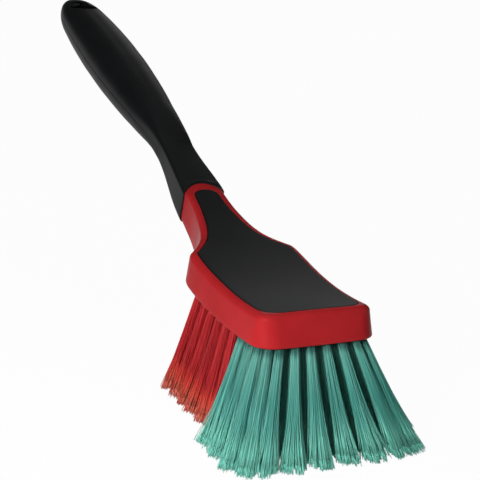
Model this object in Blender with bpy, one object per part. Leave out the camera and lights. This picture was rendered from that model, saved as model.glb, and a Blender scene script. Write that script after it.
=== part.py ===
"""Hand brush with a two-colour block, a soft top pad and a soft grip moulded over the core's tang.

Run with: blender --background --python part.py
Lengths are in metres, +Z is up and +Y runs from the front of the block to the end of the handle.
The brush stands on its trimmed bristle tips, and the origin is the middle of the box it fills, at the floor.
"""

import bpy
import bmesh
from math import cos, pi, radians, sin, sqrt, tan
from mathutils import Vector

MM = 0.001

# Clearances
SEAM = 0.3 * MM                # gap between pieces that touch
RING_SEAM = 0.5 * MM           # gap at the grip's border, which curves two ways
OVERRUN = 5.0 * MM             # how far a cutter reaches past the surface it cuts
BITE = 1.0 * MM                # how far a strand starts inside its slice of the tuft field

# Block
BLOCK_WIDTH = 72.6 * MM        # over the skirt's lower edge
SHOULDER_AT = 84.0 * MM        # where the sides start to turn in to the neck
FRONT_CORNER_RADIUS = 12.8 * MM
FRONT_EDGE_RADIUS = 460.0 * MM # the front edge is slightly bowed
SKIRT_HEIGHT = 56.8 * MM       # lowest point of the skirt above the trimmed tips
BLOCK_THICKNESS = 16.8 * MM    # at the lowest point of the skirt
ROCKER_AT = 35.0 * MM          # where the underside is lowest, from the front
ROCKER_RADIUS = 310.0 * MM     # curve of the underside
TOP_LOW_AT = 37.0 * MM         # where the top is lowest
TOP_FRONT_RADIUS = 240.0 * MM  # curve of the top ahead of there
TOP_RISE = 26.7 * MM           # rise of the top from there to the grip
TOP_RISE_POWER = 1.84          # 2 is an even curve, less eases towards the grip
TOP_CROWN = 0.6 * MM           # rise of the top from its sides to its middle
BLOCK_EDGE_WIDTH = 5.4 * MM    # rounding between top and wall
BLOCK_EDGE_DROP = 4.0 * MM
FRONT_DRAFT = 5.0 * MM         # how far the front leans in from skirt to top edge
SIDE_DRAFT = 2.0 * MM
SKIRT_EDGE_RADIUS = 1.2 * MM
SKIRT_WALL = 2.4 * MM
UNDERSIDE_END = 100.0 * MM     # where the underside turns up to the neck

# Outline of the shoulders and neck: share of the way from the shoulder to the grip, and share of the
# block's width kept beyond the neck's own
SHOULDER_SHARES = ((0.0, 0.985), (0.1, 0.97), (0.18, 0.92), (0.24, 0.76), (0.3, 0.585), (0.38, 0.4),
                   (0.49, 0.25), (0.63, 0.14), (0.79, 0.055), (1.0, 0.0))

# Lean of the sides: share of the way from the front to the grip, and share of the draft
SIDE_DRAFT_SHARES = ((0.0, 1.0), (0.26, 1.0), (0.4, 0.9), (0.56, 0.6), (0.64, 0.6), (0.8, 0.6), (1.0, 0.5))

# Grip border
RING_AT = 151.0 * MM           # where the soft grip starts, at the sides of the neck
RING_ARCH = 6.5 * MM           # how much further up the neck the border lies in the middle of the top
RING_TILT = 1.9 * MM           # how much further down it lies at the top edges, and up at the underside
RING_WIDTH = 27.2 * MM         # of the grip at its border
RING_DEPTH = 20.2 * MM
PROUD = 0.8 * MM               # how far the grip stands out from the core there
NECK_EDGE_RADIUS = 1.8 * MM
NECK_BASE_RADIUS = 3.5 * MM

# Handle
NECK_SLOPE = radians(27.5)
GRIP_SLOPE = radians(16.5)
NECK_RUN = 52.0 * MM           # straight run from the border to the bend
BEND_RADIUS = 150.0 * MM
GRIP_RUN = 170.0 * MM          # straight run from the bend to the end
SQUARE_RUN = 14.0 * MM         # over which the sections turn square to the handle
WAIST_AT = 48.0 * MM           # narrowest place, along the handle from the border
WAIST_WIDTH = 21.2 * MM
WAIST_DEPTH = 14.3 * MM
PALM_WIDTH = 36.8 * MM
PALM_DEPTH = 30.0 * MM
CAP_LENGTH = 34.0 * MM         # rounded end
GRIP_SKIN = 2.4 * MM           # thickness of the soft layer
# Share of the way along the handle, and share of the swell from waist to palm
SWELL_SHARES = ((0.19, 0.0), (0.262, 0.18), (0.345, 0.5), (0.425, 0.75), (0.504, 0.905),
                (0.583, 1.0), (0.663, 1.0), (0.742, 0.93), (0.817, 0.8), (0.873, 0.66), (1.0, 0.5))
# The same for the underside, which swells sooner and stops the fingers
UNDERSIDE_SHARES = ((0.19, 0.0), (0.225, 0.02), (0.262, 0.22), (0.3, 0.5), (0.345, 0.72), (0.425, 0.87),
                    (0.504, 0.95), (0.583, 1.0), (0.663, 1.0), (0.742, 0.93), (0.817, 0.8), (0.873, 0.66),
                    (1.0, 0.5))
PALM_ROUNDNESS_SHARE = 0.86    # how much of a palm section's half width its corners take
PALM_STEEPNESS_SHARE = 0.92    # and of its half depth

# Top pad
RIM = 4.3 * MM                 # from the top edge of the walls to the pad
PAD_THICKNESS = 2.2 * MM
PAD_END = 150.2 * MM           # tip of the pad's tongue
TONGUE_TIP_LENGTH = 7.2 * MM
TONGUE_TIP_POWER = 2.4         # 2 is an ellipse, more is squarer

# Tufts
FIRST_ROW_AT = 5.6 * MM
ROW_PITCH = 8.7 * MM
COLUMN_PITCH = 9.3 * MM        # at most
TUFT_INSET = 5.2 * MM          # from the block's outline to a tuft's middle
TUFTS_ACROSS = (6, 8, 8, 8, 8, 8, 8, 8, 8, 8, 6)
ROW_COUNT = len(TUFTS_ACROSS)
TEAL_ROWS = 4
FIELD_THICKNESS = 3.5 * MM
FIELD_LIP = 2.0 * MM           # how far the skirt hangs below the tuft field
FIELD_SLOPE = 2.6 * MM         # how far the field's front leans back, with the skirt's wall
FIELD_REAR = 100.0 * MM        # outline of the field at the back, with the skirt's wall
REAR_CORNER_RADIUS = 10.0 * MM
BUNDLE_REACH = 0.85 * MM       # from a tuft's middle to its outer strands, each way
BUNDLE = ((0, 0), (-1, -1), (1, -1), (1, 1), (-1, 1))   # strands of a tuft, across and along
STRAND_RADIUS = 0.62 * MM
STRAND_SIDES = 3
STRAND_STEPS = 2
TEAL_LEANS = (27.0 * MM, 11.0 * MM)   # how far tips lie ahead of their roots, first and last row
RED_LEANS = (1.0 * MM, -8.0 * MM)
TEAL_SPLAY_SHARE = 0.74        # how far tips spread to the sides, as a share of their place
RED_SPLAY_SHARE = 0.33
TIP_SPREAD = 4.4 * MM          # from a tuft's middle to its outer strands at the tips, across the block
TIP_REACH = 3.4 * MM           # and along it
EARLY_BEND_SHARE = 0.4         # share of the lean that a strand has at half its height
TIP_CUT = 0.5 * MM             # depth of the flat that trims the tips

ARC_STEPS = 5                  # facets of an edge rounding in a section
ACROSS_STEPS = 3               # facets from the middle of a section to its edge rounding
WALL_STEPS = 2                 # facets of a section's wall


def clear_scene():
    for obj in list(bpy.data.objects):
        bpy.data.objects.remove(obj, do_unlink=True)


def material(name, colour, roughness, metallic=0.0):
    made = bpy.data.materials.new(name)
    made.use_nodes = True
    shader = made.node_tree.nodes["Principled BSDF"]
    shader.inputs["Base Color"].default_value = (*colour, 1.0)
    shader.inputs["Roughness"].default_value = roughness
    shader.inputs["Metallic"].default_value = metallic
    made.diffuse_color = (*colour, 1.0)
    return made


def mix(a, b, share):
    return a + (b - a) * share


def ease(share):
    share = min(max(share, 0.0), 1.0)
    return share * share * (3 - 2 * share)


def smooth_table(table, at):
    """Smooth monotone curve through (place, value) pairs."""
    if at <= table[0][0]:
        return table[0][1]
    if at >= table[-1][0]:
        return table[-1][1]
    steps = [(b[1] - a[1]) / (b[0] - a[0]) for a, b in zip(table, table[1:])]
    slopes = [steps[0]]
    for before, after in zip(steps, steps[1:]):
        slopes.append(0.0 if before * after <= 0 else 2 * before * after / (before + after))
    slopes.append(steps[-1])
    index = max(i for i in range(len(table) - 1) if table[i][0] <= at)
    (x0, y0), (x1, y1) = table[index], table[index + 1]
    width = x1 - x0
    return hermite(y0, y1, slopes[index] * width, slopes[index + 1] * width, (at - x0) / width)


def hermite(start, end, start_slope, end_slope, t):
    return ((2 * t ** 3 - 3 * t ** 2 + 1) * start + (t ** 3 - 2 * t ** 2 + t) * start_slope
            + (3 * t ** 2 - 2 * t ** 3) * end + (t ** 3 - t ** 2) * end_slope)


def arc_rise(radius, run):
    return radius - sqrt(radius ** 2 - run ** 2)


# Side view of the block and neck

def top_line(y):
    """Height of the top's side edges."""
    lowest = SKIRT_HEIGHT + BLOCK_THICKNESS
    if y <= TOP_LOW_AT:
        return lowest + arc_rise(TOP_FRONT_RADIUS, TOP_LOW_AT - y)
    return lowest + TOP_RISE * ((y - TOP_LOW_AT) / (RING_AT - TOP_LOW_AT)) ** TOP_RISE_POWER


def ring_centre_height():
    return top_line(RING_AT) + PROUD - RING_DEPTH / 2 / cos(NECK_SLOPE)


def bottom_line(y):
    """Height of the skirt's lower edge, and of the neck's underside behind it."""
    if y <= UNDERSIDE_END:
        return SKIRT_HEIGHT + arc_rise(ROCKER_RADIUS, y - ROCKER_AT)
    start = SKIRT_HEIGHT + arc_rise(ROCKER_RADIUS, UNDERSIDE_END - ROCKER_AT)
    run = UNDERSIDE_END - ROCKER_AT
    start_slope = run / sqrt(ROCKER_RADIUS ** 2 - run ** 2)
    end = ring_centre_height() - RING_DEPTH / 2 / cos(NECK_SLOPE) + PROUD
    length = RING_AT - UNDERSIDE_END
    return hermite(start, end, start_slope * length, tan(NECK_SLOPE) * length, (y - UNDERSIDE_END) / length)


# Plan of the block and neck

def side_half_width(y):
    """Half the width behind the front corners."""
    neck = RING_WIDTH / 2 - PROUD
    if y <= FRONT_CORNER_RADIUS:
        return BLOCK_WIDTH / 2
    widest = BLOCK_WIDTH / 2
    kept = SHOULDER_SHARES[0][1]
    if y <= SHOULDER_AT:
        share = 1 - (1 - kept) * ((y - FRONT_CORNER_RADIUS) / (SHOULDER_AT - FRONT_CORNER_RADIUS)) ** 4
    else:
        share = smooth_table(SHOULDER_SHARES, (y - SHOULDER_AT) / (RING_AT - SHOULDER_AT))
    return neck + (widest - neck) * share


def outline_points():
    """Right half of the plan outline, from the middle of the front edge to just before the grip."""
    corner_x = BLOCK_WIDTH / 2 - FRONT_CORNER_RADIUS
    tilt = corner_x / FRONT_EDGE_RADIUS
    points = []
    front_steps = 4
    for i in range(front_steps):
        x = (corner_x + FRONT_CORNER_RADIUS * tilt) * i / front_steps
        points.append((x, arc_rise(FRONT_EDGE_RADIUS, x)))
    bow = arc_rise(FRONT_EDGE_RADIUS, corner_x)
    corner_steps = 8
    for i in range(corner_steps):
        angle = mix(tilt, pi / 2, i / corner_steps)
        points.append((corner_x + FRONT_CORNER_RADIUS * sin(angle),
                       bow + FRONT_CORNER_RADIUS * (1 - cos(angle))))
    side_steps, shoulder_steps, neck_steps = 6, 12, 7
    flare_end = mix(SHOULDER_AT, RING_AT, SHOULDER_SHARES[6][0])
    last = mix(SHOULDER_AT, RING_AT, 0.93)
    places = [mix(FRONT_CORNER_RADIUS + bow, SHOULDER_AT, i / side_steps) for i in range(side_steps)]
    places += [mix(SHOULDER_AT, flare_end, i / shoulder_steps) for i in range(shoulder_steps)]
    places += [mix(flare_end, last, i / neck_steps) for i in range(neck_steps + 1)]
    points += [(side_half_width(y), y) for y in places]
    return points


def inward_normals(points):
    normals = [Vector((0.0, 1.0))]
    for before, after in zip(points, points[2:]):
        along = Vector((after[0] - before[0], after[1] - before[1])).normalized()
        normals.append(Vector((-along.y, along.x)))
    along = Vector((points[-1][0] - points[-2][0], points[-1][1] - points[-2][1])).normalized()
    normals.append(Vector((-along.y, along.x)))
    return normals


def crowned_top(x, y):
    reach = side_half_width(max(y, FRONT_CORNER_RADIUS))
    return top_line(y) + TOP_CROWN * (1 - min(abs(x) / reach, 1.0) ** 2)


def spine_place(y):
    """Place on the middle line that a station at y is filled to."""
    return max(y, FRONT_CORNER_RADIUS)


def wall_draft(point, normal):
    """How far the wall over a point of the outline leans in."""
    side = SIDE_DRAFT * smooth_table(SIDE_DRAFT_SHARES, point[1] / RING_AT)
    return mix(side, FRONT_DRAFT, max(normal.y, 0.0) ** 2)


def block_half_ring(point, normal):
    """Half section of the block or neck, from the middle of the top to the middle of the underside."""
    at = Vector(point)
    share = ease((point[1] - SHOULDER_AT) / (RING_AT - SHOULDER_AT))
    width = mix(BLOCK_EDGE_WIDTH, NECK_EDGE_RADIUS, share)
    drop = mix(BLOCK_EDGE_DROP, NECK_EDGE_RADIUS, share)
    base = mix(SKIRT_EDGE_RADIUS, NECK_BASE_RADIUS, share)
    draft = wall_draft(point, normal)
    top_in = at + normal * (draft + width)
    base_in = at + normal * base
    spine_top = Vector((0.0, spine_place(top_in.y)))
    spine_base = Vector((0.0, spine_place(base_in.y)))
    shares = [i / ACROSS_STEPS for i in range(ACROSS_STEPS)]
    plan = [spine_top.lerp(top_in, share) for share in shares]
    ring = [(p.x, p.y, crowned_top(p.x, p.y)) for p in plan]
    for i in range(ARC_STEPS + 1):
        angle = pi / 2 * i / ARC_STEPS
        p = at + normal * (draft + width * (1 - sin(angle)))
        ring.append((p.x, p.y, crowned_top(top_in.x, p.y) - drop * (1 - cos(angle))))
    wall_top, wall_base = Vector(ring[-1]), Vector((at.x, at.y, bottom_line(at.y) + base))
    ring += [tuple(wall_top.lerp(wall_base, i / WALL_STEPS)) for i in range(1, WALL_STEPS)]
    for i in range(ARC_STEPS + 1):
        angle = pi / 2 * i / ARC_STEPS
        p = at + normal * base * (1 - cos(angle))
        ring.append((p.x, p.y, bottom_line(p.y) + base * (1 - sin(angle))))
    for share in reversed(shares):
        p = spine_base.lerp(base_in, share)
        ring.append((p.x, p.y, bottom_line(p.y)))
    return ring


# Handle

def handle_length():
    return NECK_RUN + BEND_RADIUS * (NECK_SLOPE - GRIP_SLOPE) + GRIP_RUN


def centreline(along):
    """Place (y, z) and slope of the handle's middle, at a distance from the grip's border."""
    y, z = RING_AT, ring_centre_height()
    run = min(along, NECK_RUN)
    y, z = y + run * cos(NECK_SLOPE), z + run * sin(NECK_SLOPE)
    if along <= NECK_RUN:
        return y, z, NECK_SLOPE
    turned = min((along - NECK_RUN) / BEND_RADIUS, NECK_SLOPE - GRIP_SLOPE)
    slope = NECK_SLOPE - turned
    y += BEND_RADIUS * (sin(NECK_SLOPE) - sin(slope))
    z += BEND_RADIUS * (cos(slope) - cos(NECK_SLOPE))
    run = max(0.0, along - NECK_RUN - BEND_RADIUS * (NECK_SLOPE - GRIP_SLOPE))
    return y + run * cos(slope), z + run * sin(slope), slope


def section_points(width, top, base, crown, edge, foot):
    """Half of a rounded section: places across and up. edge and foot are corner radii, across and up."""
    shares = [i / ACROSS_STEPS for i in range(ACROSS_STEPS)]
    angles = [pi / 2 * i / ARC_STEPS for i in range(ARC_STEPS + 1)]
    side_top, side_base = top - crown - edge[1], foot[1] - base
    half = [((width - edge[0]) * share, top - crown * share ** 2) for share in shares]
    half += [(width - edge[0] * (1 - sin(a)), side_top + edge[1] * cos(a)) for a in angles]
    half += [(width, mix(side_top, side_base, i / WALL_STEPS)) for i in range(1, WALL_STEPS)]
    half += [(width - foot[0] * (1 - cos(a)), side_base - foot[1] * sin(a)) for a in angles]
    half += [((width - foot[0]) * share, -base) for share in reversed(shares)]
    return half


def handle_half_ring(along, inset, back=0.0):
    """Half section of the handle, inset from the grip's surface. back moves it down the neck's slope."""
    y, z, slope = centreline(along)
    length = handle_length()
    if along <= WAIST_AT:
        swell = 0.0
        width = mix(RING_WIDTH, WAIST_WIDTH, ease(along / WAIST_AT)) / 2
        top = base = mix(RING_DEPTH, WAIST_DEPTH, ease(along / WAIST_AT)) / 2
    else:
        place = mix(SWELL_SHARES[0][0], 1.0, (along - WAIST_AT) / (length - WAIST_AT))
        swell = smooth_table(SWELL_SHARES, place)
        width = mix(WAIST_WIDTH, PALM_WIDTH, swell) / 2
        top = mix(WAIST_DEPTH, PALM_DEPTH, swell) / 2
        base = mix(WAIST_DEPTH, PALM_DEPTH, smooth_table(UNDERSIDE_SHARES, place)) / 2
    closing = max(0.0, along - length + CAP_LENGTH) / (CAP_LENGTH - inset)
    scale = sqrt(1 - closing ** 2) if closing < 0.9999 else 0.0
    rounding = ease(swell * 1.6)
    edge = (mix(NECK_EDGE_RADIUS, width * PALM_ROUNDNESS_SHARE, rounding),
            mix(NECK_EDGE_RADIUS, top * PALM_STEEPNESS_SHARE, rounding))
    foot = (mix(NECK_BASE_RADIUS, width * PALM_ROUNDNESS_SHARE, rounding),
            mix(NECK_BASE_RADIUS, base * PALM_STEEPNESS_SHARE, rounding))
    crown = min(TOP_CROWN, top - edge[1]) * (1 - rounding)
    outer = section_points(width, top, base, crown, edge, foot)
    half = section_points(width - inset, top - inset, base - inset, crown,
                          [max(r - inset, SEAM) for r in edge], [max(r - inset, SEAM) for r in foot])
    lean = slope * ease(along / SQUARE_RUN)
    stretch = 1 / cos(slope - lean)
    fading = 1 - ease(along / SQUARE_RUN)
    ring = []
    for (x, up), (outer_x, outer_up) in zip(half, outer):
        height = outer_up / top
        arch = RING_ARCH * (1 - (outer_x / width) ** 2) * (1 + height) / 2
        x, up = x * scale, up * scale * stretch
        bowed = (arch - RING_TILT * height) * fading - back
        ring.append((x, y - up * sin(lean) + bowed, z + up * cos(lean) + bowed * tan(slope)))
    return ring


def handle_places(inset):
    """Distances along the handle where its sections stand, the last at its very end."""
    length = handle_length()
    cap_at = length - CAP_LENGTH
    body_steps, cap_steps = 22, 5
    places = [cap_at * i / body_steps for i in range(body_steps + 1)]
    for i in range(1, cap_steps + 1):
        places.append(cap_at + (CAP_LENGTH - inset) * sin(pi / 2 * i / cap_steps))
    return places


# Meshes

def add_object(name, mesh_maker, finish=None):
    mesh = bpy.data.meshes.new(name)
    bm = bmesh.new()
    mesh_maker(bm)
    bmesh.ops.remove_doubles(bm, verts=bm.verts, dist=0.001 * MM)
    bmesh.ops.dissolve_degenerate(bm, edges=bm.edges, dist=0.001 * MM)
    bmesh.ops.recalc_face_normals(bm, faces=bm.faces)
    bmesh.ops.triangulate(bm, faces=bm.faces, quad_method="SHORT_EDGE")
    bm.to_mesh(mesh)
    bm.free()
    obj = bpy.data.objects.new(name, mesh)
    bpy.context.scene.collection.objects.link(obj)
    if finish:
        mesh.materials.append(finish)
    return obj


def skin_half_rings(bm, half_rings):
    """Closed skin over half sections and their mirror images, in order."""
    loops = []
    for half in half_rings:
        full = list(half) + [(-x, y, z) for x, y, z in reversed(half[1:-1])]
        loops.append([bm.verts.new(p) for p in full])
    count = len(loops[0])
    for here, there in zip(loops, loops[1:]):
        for i in range(count):
            after = (i + 1) % count
            bm.faces.new((here[i], here[after], there[after], there[i]))


def shade(obj, angle=35):
    obj.data.shade_smooth()
    obj.data.set_sharp_from_angle(angle=radians(angle))


def cut(obj, cutter, operation="DIFFERENCE"):
    cutter.hide_render = True
    cutter.display_type = "WIRE"
    modifier = obj.modifiers.new(cutter.name, "BOOLEAN")
    modifier.operation = operation
    modifier.solver = "EXACT"
    modifier.object = cutter


# Top pad and its pocket

def pad_half_rings(border, floor, ceiling):
    """Half sections of the pad's outline, border in from the block's, between two depths below the top."""
    points = [Vector(p) for p in outline_points()]
    inner = [Vector((0.0, FRONT_DRAFT + border))]
    for here, there in zip(points, points[1:]):
        along = (there - here).normalized()
        middle, normal = (here + there) / 2, Vector((-along.y, along.x))
        inner.append(middle + normal * (wall_draft(middle, normal) + border))
    tip_length = TONGUE_TIP_LENGTH + RIM - border
    tip_at = PAD_END - TONGUE_TIP_LENGTH
    inner = [p for p in inner if p.y < tip_at]
    start = side_half_width(tip_at) - wall_draft((0.0, tip_at), Vector((-1.0, 0.0))) - border
    tip_steps = 7
    for i in range(tip_steps + 1):
        angle = pi / 2 * i / tip_steps
        power = 2 / TONGUE_TIP_POWER
        inner.append(Vector((start * max(cos(angle), 0.0) ** power if i < tip_steps else 0.0,
                             tip_at + tip_length * sin(angle) ** power)))
    rings = []
    for p in inner:
        spine = min(spine_place(p.y), max(p.y, tip_at))
        across = [Vector((0.0, spine)), Vector((p.x / 2, (p.y + spine) / 2)), p]
        ring = [(q.x, q.y, crowned_top(q.x, q.y) - ceiling) for q in across]
        ring += [(q.x, q.y, crowned_top(q.x, q.y) - floor) for q in reversed(across)]
        rings.append(ring)
    return rings


# Tuft field

def field_outline(inset):
    """Places and half widths down the side of the tuft field, inset from the skirt's outline."""
    corner_steps = 7
    front, rear = FRONT_CORNER_RADIUS, FIELD_REAR - REAR_CORNER_RADIUS
    spots = []
    for i in range(corner_steps + 1):
        angle, radius = pi / 2 * i / corner_steps, FRONT_CORNER_RADIUS - inset
        spots.append((front - radius * cos(angle),
                      side_half_width(front) - inset - radius * (1 - sin(angle))))
    for row in range(1, ROW_COUNT):
        y = row_place(row) - ROW_PITCH / 2
        if front < y < rear:
            spots.append((y, side_half_width(min(y, SHOULDER_AT)) - inset))
    for i in range(corner_steps + 1):
        angle, radius = pi / 2 * i / corner_steps, REAR_CORNER_RADIUS - inset
        spots.append((rear + radius * sin(angle),
                      side_half_width(SHOULDER_AT) - inset - radius * (1 - cos(angle))))
    return spots


def field_half_width(y, inset):
    spots = field_outline(inset)
    for (y0, x0), (y1, x1) in zip(spots, spots[1:]):
        if y <= y1:
            return mix(x0, x1, max(y - y0, 0.0) / (y1 - y0))
    return spots[-1][1]


def field_half_rings(start, end, inset, roof, floor):
    """Rectangular half sections from start to end, roof and floor above the skirt's edge."""
    places = [start] + [y for y, x in field_outline(inset) if start < y < end] + [end]
    rings = []
    for y in places:
        x = field_half_width(y, inset)
        share = min((y - inset) / FIELD_SLOPE, 1.0)
        low, high = bottom_line(y) + floor, bottom_line(y) + mix(FIELD_LIP + SEAM, roof, share)
        rings.append([(0.0, y, high), (x, y, high), (x, y, low), (0.0, y, low)])
    first = [(0.0, y, z) for x, y, z in rings[0]]
    last = [(0.0, y, z) for x, y, z in rings[-1]]
    return [first] + rings + [last]


def row_place(row):
    return FIRST_ROW_AT + ROW_PITCH * row


def row_tufts(row):
    """Places of one row's tufts across the block."""
    count = TUFTS_ACROSS[row]
    half = min(field_half_width(row_place(row), TUFT_INSET), COLUMN_PITCH * (count - 1) / 2)
    return [half * (2 * i + 1 - count) / (count - 1) for i in range(count)]


def tuft_tip(row, x):
    """Where the middle of a tuft's tips lies on the floor."""
    teal = row < TEAL_ROWS
    first, last = (0, TEAL_ROWS - 1) if teal else (TEAL_ROWS, ROW_COUNT - 1)
    lean = mix(*(TEAL_LEANS if teal else RED_LEANS), (row - first) / (last - first))
    return x * (1 + (TEAL_SPLAY_SHARE if teal else RED_SPLAY_SHARE)), row_place(row) - lean


def add_strand(bm, root, tip):
    """One strand of straight lengths, its last ring cut flat at the floor."""
    over = (root.z + TIP_CUT) / root.z
    end = root + (tip - root) * over
    middle = root + Vector(((end.x - root.x) * EARLY_BEND_SHARE, (end.y - root.y) * EARLY_BEND_SHARE,
                            (end.z - root.z) / 2))
    path = []
    for i in range(STRAND_STEPS + 1):
        t = i / STRAND_STEPS
        path.append(root * (1 - t) ** 2 + middle * 2 * t * (1 - t) + end * t ** 2)
    heading = (path[-1] - path[-2]).normalized()
    path[-1] = path[-1] - heading * (path[-1].z / heading.z)
    rings = []
    for p in path:
        ring = []
        for i in range(STRAND_SIDES):
            angle = 2 * pi * i / STRAND_SIDES + pi / 2
            ring.append(bm.verts.new(p + Vector((cos(angle), sin(angle), 0.0)) * STRAND_RADIUS))
        rings.append(ring)
    for here, there in zip(rings, rings[1:]):
        for i in range(STRAND_SIDES):
            after = (i + 1) % STRAND_SIDES
            bm.faces.new((here[i], here[after], there[after], there[i]))
    bm.faces.new(reversed(rings[0]))
    bm.faces.new(rings[-1])


def tuft_row(row, finish):
    """Slice of the tuft field under one row, fused with the row's strands."""
    start = row_place(row) - ROW_PITCH / 2 + SEAM / 2
    end = row_place(row) + ROW_PITCH / 2 - SEAM / 2
    if row == 0:
        start = SKIRT_WALL + SEAM
    if row == ROW_COUNT - 1:
        end = FIELD_REAR - SKIRT_WALL - SEAM
    stations = field_half_rings(start, end, SKIRT_WALL + SEAM, FIELD_LIP + FIELD_THICKNESS, FIELD_LIP)
    name = f"tuft_row_{row + 1:02d}"
    obj = add_object(name, lambda bm: skin_half_rings(bm, stations), finish)

    def strands(bm):
        y = row_place(row)
        for x in row_tufts(row):
            tip_x, tip_y = tuft_tip(row, x)
            for dx, dy in BUNDLE:
                height = bottom_line(y) + FIELD_LIP + BITE
                root = Vector((x + dx * BUNDLE_REACH, y + dy * BUNDLE_REACH, height))
                add_strand(bm, root, Vector((tip_x + dx * TIP_SPREAD, tip_y + dy * TIP_REACH, 0.0)))

    cut(obj, add_object(name + "_strands", strands), "UNION")
    return obj


# Pieces

def core(finish):
    points = outline_points()
    rings = [block_half_ring(p, n) for p, n in zip(points, inward_normals(points))]
    rings.append(handle_half_ring(0.0, PROUD, RING_SEAM))
    tang = GRIP_SKIN + SEAM
    rings += [handle_half_ring(place, tang, RING_SEAM if place == 0 else 0.0) for place in handle_places(tang)]
    obj = add_object("core", lambda bm: skin_half_rings(bm, rings), finish)
    pocket = pad_half_rings(RIM - SEAM, PAD_THICKNESS + SEAM, -OVERRUN)
    cut(obj, add_object("pad_pocket", lambda bm: skin_half_rings(bm, pocket)))
    recess = field_half_rings(SKIRT_WALL, FIELD_REAR - SKIRT_WALL, SKIRT_WALL,
                            FIELD_LIP + FIELD_THICKNESS + SEAM, -OVERRUN)
    cut(obj, add_object("tuft_recess", lambda bm: skin_half_rings(bm, recess)))
    shade(obj)
    return obj


def top_pad(finish):
    rings = pad_half_rings(RIM, PAD_THICKNESS, 0.0)
    obj = add_object("top_pad", lambda bm: skin_half_rings(bm, rings), finish)
    shade(obj)
    return obj


def soft_grip(finish):
    """Sleeve with a blind bore: down the bore's wall from its end, then up the outside."""
    bore = [handle_half_ring(place, GRIP_SKIN) for place in handle_places(GRIP_SKIN)]
    outside = [handle_half_ring(place, 0.0) for place in handle_places(0.0)]
    obj = add_object("soft_grip", lambda bm: skin_half_rings(bm, bore[::-1] + outside), finish)
    shade(obj)
    return obj


def stand_at_middle(pieces):
    """Moves the whole brush so that the origin is under the middle of the box it fills."""
    bpy.context.view_layer.update()
    graph = bpy.context.evaluated_depsgraph_get()
    places = []
    for piece in pieces:
        seen = piece.evaluated_get(graph)
        places += [seen.matrix_world @ v.co for v in seen.data.vertices]
    middle = (min(p.y for p in places) + max(p.y for p in places)) / 2
    frame = bpy.data.objects.new("brush_frame", None)
    bpy.context.scene.collection.objects.link(frame)
    frame.location = (0.0, -middle, 0.0)
    for obj in list(bpy.data.objects):
        if obj.type == "MESH":
            obj.parent = frame
    bpy.context.view_layer.update()
    return middle


def main():
    clear_scene()
    red_plastic = material("red polypropylene", (0.418, 0.020, 0.022), 0.38)
    black_soft = material("black soft elastomer", (0.012, 0.012, 0.013), 0.6)
    teal_filament = material("teal polyester filament", (0.087, 0.296, 0.262), 0.5)
    red_filament = material("red polyester filament", (0.429, 0.019, 0.024), 0.5)
    pieces = [core(red_plastic), top_pad(black_soft), soft_grip(black_soft)]
    for row in range(ROW_COUNT):
        pieces.append(tuft_row(row, teal_filament if row < TEAL_ROWS else red_filament))
    middle = stand_at_middle(pieces)
    strands = sum(TUFTS_ACROSS) * len(BUNDLE)
    print(f"strands: {strands}, middle at {middle / MM:.2f} mm from the block's front")


main()
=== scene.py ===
import bpy
import numpy as np
from math import cos, pi, radians, sin, sqrt, tan
from mathutils import Matrix, Vector


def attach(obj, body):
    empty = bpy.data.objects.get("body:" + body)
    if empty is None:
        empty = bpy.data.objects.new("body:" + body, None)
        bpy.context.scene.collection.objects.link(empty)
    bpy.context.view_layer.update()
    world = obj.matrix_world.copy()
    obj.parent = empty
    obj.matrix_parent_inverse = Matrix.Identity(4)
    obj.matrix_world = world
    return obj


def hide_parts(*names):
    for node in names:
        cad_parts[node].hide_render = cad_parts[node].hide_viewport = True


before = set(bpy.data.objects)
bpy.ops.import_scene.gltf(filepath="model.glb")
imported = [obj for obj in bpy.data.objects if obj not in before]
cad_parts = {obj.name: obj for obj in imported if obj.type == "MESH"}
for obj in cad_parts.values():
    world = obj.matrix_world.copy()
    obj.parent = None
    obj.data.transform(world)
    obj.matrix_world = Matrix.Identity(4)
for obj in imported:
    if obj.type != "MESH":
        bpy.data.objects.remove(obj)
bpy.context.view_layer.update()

# Hand brush: a red block and neck, a soft top pad, a soft grip and rows of bristle tufts.
# Lengths in the dictionaries are millimetres, but those of the floor and the softboxes are metres. They are
# measured from the middle of the block's front edge and from the floor, as in the part's own source, and
# toFrame turns them to the frame's metres.

metresPerMillimetre = 0.001
frontToMiddle = 180.85    # from the block's front to the middle of the frame


def toFrame(points):
    moved = np.array(points, dtype=float)
    moved[:, 1] -= frontToMiddle
    return moved * metresPerMillimetre


def selectOnly(*pieces):    # the first becomes the active one
    bpy.ops.object.select_all(action="DESELECT")
    for piece in pieces:
        piece.select_set(True)
    if pieces:
        bpy.context.view_layer.objects.active = pieces[0]


def mix(a, b, share):
    return a + (b - a) * share


def ease(share):
    share = min(max(share, 0.0), 1.0)
    return share * share * (3 - 2 * share)


def hermite(start, end, startSlope, endSlope, t):
    return ((2 * t ** 3 - 3 * t ** 2 + 1) * start + (t ** 3 - 2 * t ** 2 + t) * startSlope
            + (3 * t ** 2 - 2 * t ** 3) * end + (t ** 3 - t ** 2) * endSlope)


def smoothTable(table, at):    # a smooth monotone curve through (place, value) pairs
    if at <= table[0][0]:
        return table[0][1]
    if at >= table[-1][0]:
        return table[-1][1]
    steps = [(b[1] - a[1]) / (b[0] - a[0]) for a, b in zip(table, table[1:])]
    slopes = [steps[0]]
    for before, after in zip(steps, steps[1:]):
        slopes.append(0.0 if before * after <= 0 else 2 * before * after / (before + after))
    slopes.append(steps[-1])
    index = max(i for i in range(len(table) - 1) if table[i][0] <= at)
    (x0, y0), (x1, y1) = table[index], table[index + 1]
    width = x1 - x0
    return hermite(y0, y1, slopes[index] * width, slopes[index + 1] * width, (at - x0) / width)


def arcRise(radius, run):
    return radius - sqrt(radius ** 2 - run ** 2)


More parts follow.
